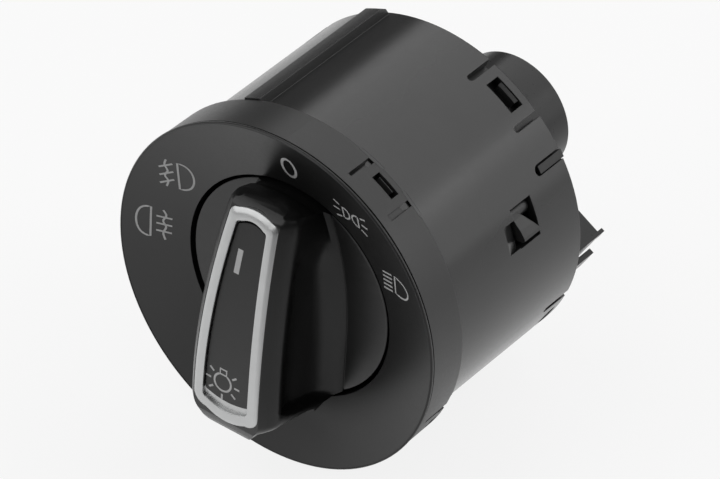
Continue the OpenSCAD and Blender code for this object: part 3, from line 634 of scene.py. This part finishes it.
def mix_shaders(tree, share, first, second, out):
    """Send a mix of two shaders to the output node."""
    mix = tree.nodes.new("ShaderNodeMixShader")
    tree.links.new(share, mix.inputs["Fac"])
    tree.links.new(first, mix.inputs[1])
    tree.links.new(second, mix.inputs[2])
    tree.links.new(mix.outputs["Shader"], out.inputs["Surface"])


def background(tree, strength):
    """White light from all round."""
    node = tree.nodes.new("ShaderNodeBackground")
    node.inputs["Color"].default_value = (1.0, 1.0, 1.0, 1.0)
    node.inputs["Strength"].default_value = strength
    return node.outputs["Background"]


def make_world(scene):
    """An even room that the camera sees as white."""
    world = bpy.data.worlds.new("Studio")
    scene.world = world
    world.use_nodes = True
    tree = world.node_tree
    tree.nodes.clear()
    out = tree.nodes.new("ShaderNodeOutputWorld")
    path = tree.nodes.new("ShaderNodeLightPath")
    room, seen = background(tree, look().room_level), background(tree, 1.0)
    mix_shaders(tree, path.outputs["Is Camera Ray"], room, seen, out)


def make_floor():
    """Plain pale paper under the switch, with a stretch of painted shade that shows only in reflections."""
    mat, tree, bsdf = new_material("floor_paper")
    bsdf.inputs["Base Color"].default_value = (0.9, 0.9, 0.9, 1.0)
    bsdf.inputs["Roughness"].default_value = 0.9
    bsdf.inputs["Specular IOR Level"].default_value = 0.1
    glow = tree.nodes.new("ShaderNodeEmission")
    glow.inputs["Strength"].default_value = 1.0
    path = tree.nodes.new("ShaderNodeLightPath")
    seen = math_node(tree, "MULTIPLY", path.outputs["Is Camera Ray"], 0.85)
    # Glossy rays see the floor's glow, with less of it where the painted shade lies.
    share = math_node(tree, "MULTIPLY_ADD", path.outputs["Is Glossy Ray"], floor_reflection_with_painted_shade(tree), seen)
    out = next(n for n in tree.nodes if n.bl_idname == "ShaderNodeOutputMaterial")
    mix_shaders(tree, share, bsdf.outputs["BSDF"], glow.outputs["Emission"], out)
    corners = [(x * FLOOR_HALF, y * FLOOR_HALF, FLOOR_Z) for x, y in ((-1, -1), (1, -1), (1, 1), (-1, 1))]
    add_mesh("floor", corners, [(0, 1, 2, 3)], mat, smooth=False)


def make_camera(scene):
    """The camera of the photo."""
    cam_data = bpy.data.cameras.new("photo_camera")
    cam_data.sensor_fit = "HORIZONTAL"
    cam_data.sensor_width = SENSOR_WIDTH
    cam_data.lens = look().lens
    cam_data.clip_start = 0.05
    cam_data.clip_end = 20.0
    cam = bpy.data.objects.new("photo_camera", cam_data)
    scene.collection.objects.link(cam)
    place = Matrix(camera_axes(*CAMERA_ANGLES)).transposed().to_4x4()
    place.translation = Vector(CAMERA_PLACE) * MM
    cam.matrix_world = place
    scene.camera = cam


class SWITCH_OT_stage(bpy.types.Operator):
    """Set up floor, light and the camera of the photo"""

    bl_idname = "switch.stage"
    bl_label = "Stage"

    def execute(self, context):
        scene = context.scene
        scene.view_settings.view_transform = "Standard"
        make_world(scene)
        make_floor()
        p = look().key_power
        area_light("key_light", (-0.55, -0.50, 0.70), 1.1, 1.1, p * 2.2)
        area_light("rear_light", (0.16, 0.64, 0.70), 1.9, 0.5, p * 2.0)
        area_light("right_light", (0.70, 0.64, 0.30), 0.5, 0.5, p * 0.5)
        make_camera(scene)
        return {"FINISHED"}


class SWITCH_OT_finishes(bpy.types.Operator):
    """Give every piece of the switch its finish"""

    bl_idname = "switch.finishes"
    bl_label = "Finishes"

    def execute(self, context):
        s = look()
        face = moulded("face_plastic", s.face_grey, 0.38)
        collar = moulded("collar_plastic", s.face_grey * 1.6, 0.38)
        body = moulded("barrel_plastic", s.body_grey, 0.24, depth=0.04)
        cover = moulded("cover_plastic", s.body_grey, 0.3, depth=0.05, spec=0.33)
        knob = moulded("knob_plastic", s.knob_grey, 0.36, depth=0.08)
        insert = moulded("insert_plastic", s.knob_grey * 1.6, 0.42, depth=0.08)
        hook = moulded("hook_plastic", s.body_grey * 0.9, 0.36, depth=0.05)
        natural = moulded("bearing_plastic", 0.55, 0.45, tint=(1.0, 0.96, 0.86))
        ring = moulded("ring_plastic", 0.45, 0.45, tint=(1.0, 0.95, 0.84))
        black = moulded("component_black", 0.015, 0.4)
        steel = metal("spring_steel", 0.62, 0.28, tint=(0.98, 0.99, 1.0))
        bronze = metal("contact_bronze", 0.75, 0.3, tint=(1.0, 0.72, 0.42))
        trim = metal("satin_chrome", 0.50, 0.36, tint=(0.99, 1.0, 1.0))
        board = board_finish("board_laminate")
        lamp = printed("lamp_white", 0.85)
        guide = clear_plastic("guide_clear")
        table = {
            "face_plate": face, "collar": collar, "housing": body, "rear_cover": cover,
            "terminal_pins": bronze, "lamp_board": board, "leds": lamp, "light_guide": guide,
            "board_screws": steel, "knob": knob, "knob_trim": trim, "knob_insert": insert,
            "knob_shaft": steel, "cross_pin": steel, "pull_slider": natural, "slip_ring": bronze,
            "knob_spring": steel, "rotor": natural, "rotor_clip": steel, "wiper_contacts": bronze,
            "detent_spring": steel, "contact_board": board, "contact_tracks": bronze,
            "electronics": black, "fog_blades": bronze, "lock_ring": ring,
            "lock_hook_1": hook, "lock_hook_2": hook,
            "hook_pins": steel, "lock_spring": steel,
        }
        for node, mat in table.items():
            paint(node, mat)
        grip = smooth_copy("knob", knob, GRIP_CREASE)
        steepen_flanks(grip.data)
        round_foot(grip.data)
        bright_frame(trim)
        coil = whole_copy("lock_spring", steel)
        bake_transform(coil)
        return {"FINISHED"}


class SWITCH_OT_marks(bpy.types.Operator):
    """Print the lamp marks on the face, the pointer and the lamp icon"""

    bl_idname = "switch.marks"
    bl_label = "Marks"

    def execute(self, context):
        mat = printed("mark_print", look().mark_grey)
        for name, strokes in mark_strokes().items():
            width = OFF_WIDTH if name == "off" else MARK_WIDTH
            verts, faces = ribbon_mesh(strokes, width, on_face)
            obj = add_mesh("mark_" + name, verts, faces, mat, smooth=False)
            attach(obj, "switch_body")
        pointer = [([(-1.65, 18.4 - 1.12 * k) for k in range(6)], False)]
        on_grip = (("pointer", pointer, POINTER_WIDTH), ("bulb", bulb_strokes(), BULB_WIDTH))
        for name, strokes, width in on_grip:
            verts, faces = ribbon_mesh(strokes, width, on_insert)
            obj = add_mesh("mark_" + name, verts, faces, mat, smooth=False)
            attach(obj, "sliding_knob")
        return {"FINISHED"}


class SWITCH_PT_panel(bpy.types.Panel):
    """Sidebar panel of the switch"""

    bl_idname = "SWITCH_PT_panel"
    bl_label = "Headlight switch"
    bl_space_type = "VIEW_3D"
    bl_region_type = "UI"
    bl_category = "Switch"

    def draw(self, context):
        layout = self.layout
        s = context.scene.switch_looks
        for prop in ("face_grey", "body_grey", "knob_grey", "grain_depth", "mark_grey",
                     "mark_lift", "edge_round", "key_power", "room_level", "floor_shine", "lens"):
            layout.prop(s, prop)
        layout.operator("switch.finishes")
        layout.operator("switch.marks")
        layout.operator("switch.stage")


CLASSES = (SwitchLooks, SWITCH_OT_finishes, SWITCH_OT_marks, SWITCH_OT_stage, SWITCH_PT_panel)


def register():
    for cls in CLASSES:
        bpy.utils.register_class(cls)
    bpy.types.Scene.switch_looks = bpy.props.PointerProperty(type=SwitchLooks)


def unregister():
    del bpy.types.Scene.switch_looks
    for cls in reversed(CLASSES):
        bpy.utils.unregister_class(cls)


def main():
    register()
    bpy.ops.switch.finishes()
    bpy.ops.switch.marks()
    bpy.ops.switch.stage()


if __name__ == "__main__":
    main()
